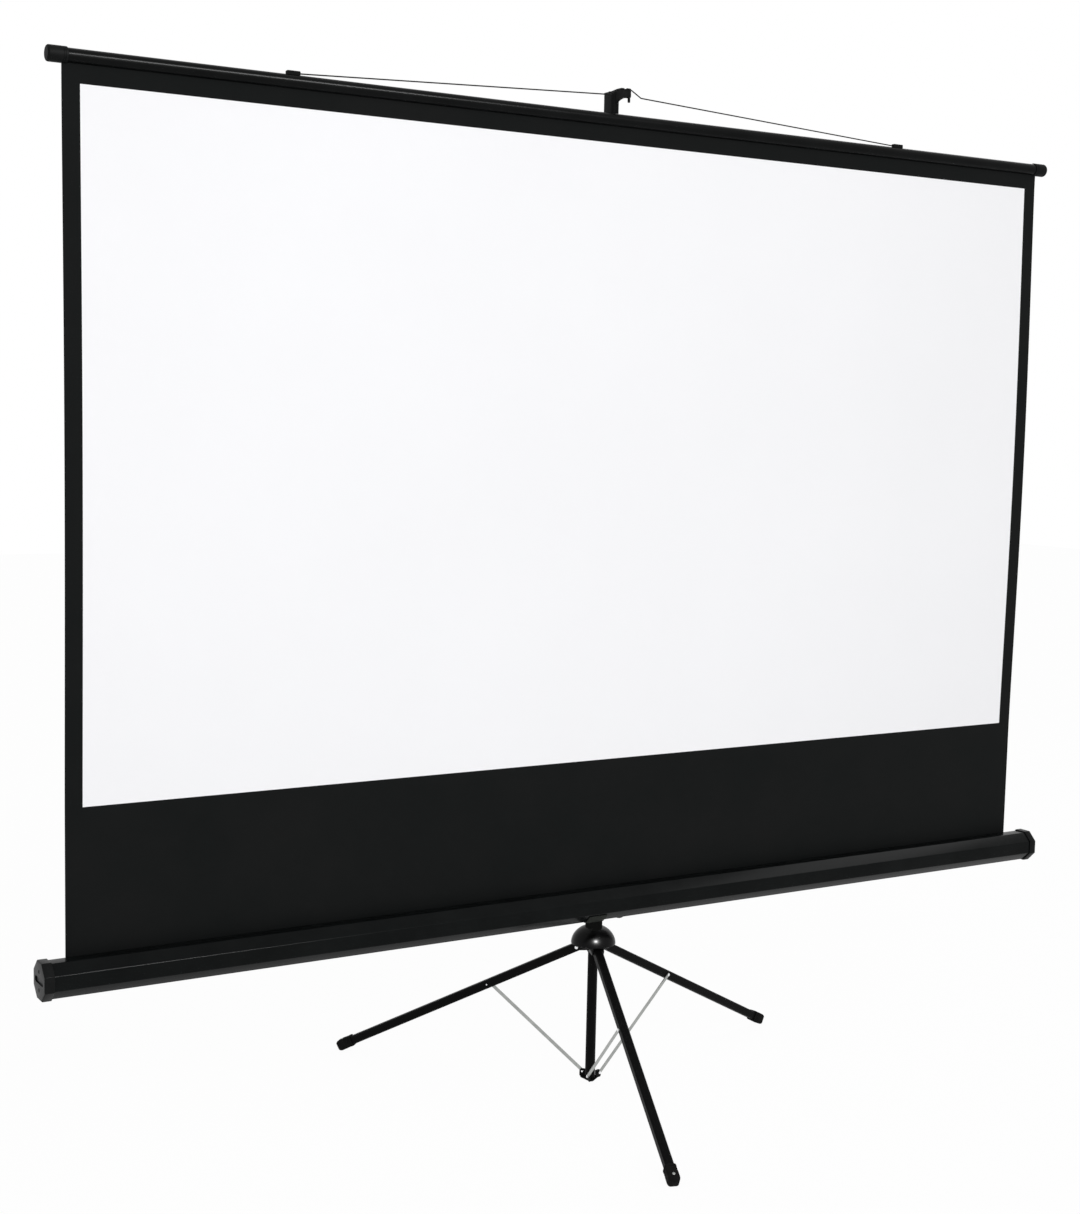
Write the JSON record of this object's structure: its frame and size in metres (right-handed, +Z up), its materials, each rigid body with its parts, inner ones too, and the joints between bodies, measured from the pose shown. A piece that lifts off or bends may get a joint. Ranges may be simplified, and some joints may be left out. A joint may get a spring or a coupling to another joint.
{
  "type": "portable projector screen",
  "caption": "Portable projector screen: a wide roll-up screen drawn from an octagonal case on a folding tripod and held up by a telescopic mast with a hook.",
  "frame": {"origin": "on the floor, under the middle of the whole object's bounding box", "axes": "+X along the case to the right as the screen is watched, +Z up, and the white side of the screen faces -Y; the mast and tripod stand behind the screen at y 0.064"},
  "size_m": [2.384, 0.9754, 2.0525],
  "materials": {
    "black_paint": "satin black powder coat on steel",
    "gloss_black": "polished black moulding",
    "zinc_steel": "pale zinc-plated strip",
    "bright_steel": "bright plated steel",
    "matte_black_plastic": "fine-grained black moulding",
    "rubber": "matt black moulded rubber",
    "black_cloth": "matt black coated backing, wound on the roller",
    "white_cloth": "matt white screen fabric in a black border",
    "anodised_black": "black anodised extrusion",
    "raw_aluminium": "plain drawn tube"
  },
  "bodies": {
    "tripod": {"hub_dome": "gloss_black", "leg_pin_left": "bright_steel", "leg_pin_front": "bright_steel", "leg_pin_right": "bright_steel"},
    "left_leg": {"leg_left": "black_paint", "foot_left": "rubber", "stay_rivet_left": "bright_steel"},
    "left_stay": {"stay_left": "zinc_steel", "lug_rivet_left": "bright_steel"},
    "front_leg": {"leg_front": "black_paint", "foot_front": "rubber", "stay_rivet_front": "bright_steel"},
    "front_stay": {"stay_front": "zinc_steel", "lug_rivet_front": "bright_steel"},
    "right_leg": {"leg_right": "black_paint", "foot_right": "rubber", "stay_rivet_right": "bright_steel"},
    "right_stay": {"stay_right": "zinc_steel", "lug_rivet_right": "bright_steel"},
    "column": {"column_tube": "black_paint", "column_foot": "matte_black_plastic", "column_collar": "matte_black_plastic"},
    "column_clamp": {"column_knob": "matte_black_plastic"},
    "carriage": {"carriage_sleeve": "matte_black_plastic", "swing_plate": "black_paint", "swing_bolt": "bright_steel", "case_bracket": "black_paint", "case_shell": "black_paint", "case_cap_left": "gloss_black", "case_cap_right": "gloss_black", "cap_screw_left_1": "black_paint", "cap_screw_left_2": "black_paint", "cap_screw_right_1": "black_paint", "cap_screw_right_2": "black_paint", "handle_mount_left": "matte_black_plastic", "handle_mount_right": "matte_black_plastic", "screen_cloth": "white_cloth"},
    "carriage_clamp": {"carriage_knob": "matte_black_plastic"},
    "roller": {"roller_tube": "raw_aluminium", "cloth_roll": "black_cloth", "roller_spring": "bright_steel", "roller_end_left": "matte_black_plastic", "roller_end_right": "matte_black_plastic"},
    "handle": {"carry_handle": "matte_black_plastic"},
    "lower_mast": {"mast_lower": "black_paint", "mast_collar": "matte_black_plastic"},
    "mast_clamp": {"mast_knob": "matte_black_plastic"},
    "upper_mast": {"mast_upper": "bright_steel", "mast_hook": "matte_black_plastic"},
    "bar": {"top_bar": "anodised_black", "hem_rod": "bright_steel", "bar_cap_left": "matte_black_plastic", "bar_cap_right": "matte_black_plastic", "bail_clip_left": "matte_black_plastic", "bail_clip_right": "matte_black_plastic"},
    "bail": {"bail_wire": "black_paint"}
  },
  "joints": [
    {"name": "leg_fold_left", "type": "hinge", "parent": "tripod", "child": "left_leg", "pos_m": [-0.02255, 0.0881, 0.286], "axis": [-0.7302, -0.6833, 0], "range_deg": [0, 59.4]},
    {"name": "stay_turn_left", "type": "hinge", "parent": "left_leg", "child": "left_stay", "pos_m": [-0.1572, 0.23198, 0.18377], "axis": [-0.7302, -0.6833, 0], "range_deg": [-105.2, 0]},
    {"name": "leg_fold_front", "type": "hinge", "parent": "tripod", "child": "front_leg", "pos_m": [-0.00959, 0.03243, 0.286], "axis": [0.9568, -0.2907, 0], "range_deg": [0, 59.4]},
    {"name": "stay_turn_front", "type": "hinge", "parent": "front_leg", "child": "front_stay", "pos_m": [-0.06688, -0.15613, 0.18377], "axis": [0.9568, -0.2907, 0], "range_deg": [-105.2, 0]},
    {"name": "leg_fold_right", "type": "hinge", "parent": "tripod", "child": "right_leg", "pos_m": [0.03214, 0.07148, 0.286], "axis": [-0.2267, 0.974, 0], "range_deg": [0, 59.4]},
    {"name": "stay_turn_right", "type": "hinge", "parent": "right_leg", "child": "right_stay", "pos_m": [0.22407, 0.11614, 0.18377], "axis": [-0.2267, 0.974, 0], "range_deg": [-105.2, 0]},
    {"name": "column_drop", "type": "slide", "parent": "tripod", "child": "column", "axis": [0, 0, 1], "range_m": [-0.22, 0]},
    {"name": "column_knob_turn", "type": "hinge", "parent": "column", "child": "column_clamp", "pos_m": [0, 0.0875, 1.104], "axis": [0, 1, 0], "range_deg": [0, 540]},
    {"name": "carriage_knob_turn", "type": "hinge", "parent": "carriage", "child": "carriage_clamp", "pos_m": [0, 0.0848, 0.455], "axis": [0, 1, 0], "range_deg": [0, 540]},
    {"name": "mast_knob_turn", "type": "hinge", "parent": "lower_mast", "child": "mast_clamp", "pos_m": [0, 0.0875, 1.554], "axis": [0, 1, 0], "range_deg": [0, 540]},
    {"name": "case_height", "type": "slide", "parent": "tripod", "child": "carriage", "axis": [0, 0, 1], "range_m": [0, 0.35]},
    {"name": "mast_height", "type": "slide", "parent": "carriage", "child": "lower_mast", "axis": [0, 0, 1], "range_m": [-0.405, 0]},
    {"name": "mast_top_height", "type": "slide", "parent": "lower_mast", "child": "upper_mast", "axis": [0, 0, 1], "range_m": [-0.405, 0]},
    {"name": "screen_height", "type": "slide", "parent": "carriage", "child": "bar", "axis": [0, 0, 1], "range_m": [-0.81, 0], "deforming": ["screen_cloth"]},
    {"name": "roller_turn", "type": "hinge", "parent": "carriage", "child": "roller", "pos_m": [0, 0.004, 0.399], "axis": [1, 0, 0], "range_deg": [-2425, 0]},
    {"name": "bail_rock", "type": "hinge", "parent": "bar", "child": "bail", "pos_m": [0, 0.024, 2.0015], "axis": [1, 0, 0], "range_deg": [-3, 3]},
    {"name": "handle_swing", "type": "hinge", "parent": "carriage", "child": "handle", "pos_m": [0.18, 0.0423, 0.407], "axis": [1, 0, 0], "range_deg": [0, 90]}
  ],
  "couplings": [
    {"joint": "stay_turn_left", "follows": "leg_fold_left", "ratio": -1.7635},
    {"joint": "leg_fold_front", "follows": "leg_fold_left", "ratio": 1},
    {"joint": "stay_turn_front", "follows": "leg_fold_left", "ratio": -1.7635},
    {"joint": "leg_fold_right", "follows": "leg_fold_left", "ratio": 1},
    {"joint": "stay_turn_right", "follows": "leg_fold_left", "ratio": -1.7635},
    {"joint": "column_drop", "follows": "leg_fold_left", "m_per_rad": -0.21127},
    {"joint": "mast_top_height", "follows": "mast_height", "ratio": 1},
    {"joint": "screen_height", "follows": "mast_height", "ratio": 2},
    {"joint": "roller_turn", "follows": "mast_height", "rad_per_m": 104.17}
  ]
}
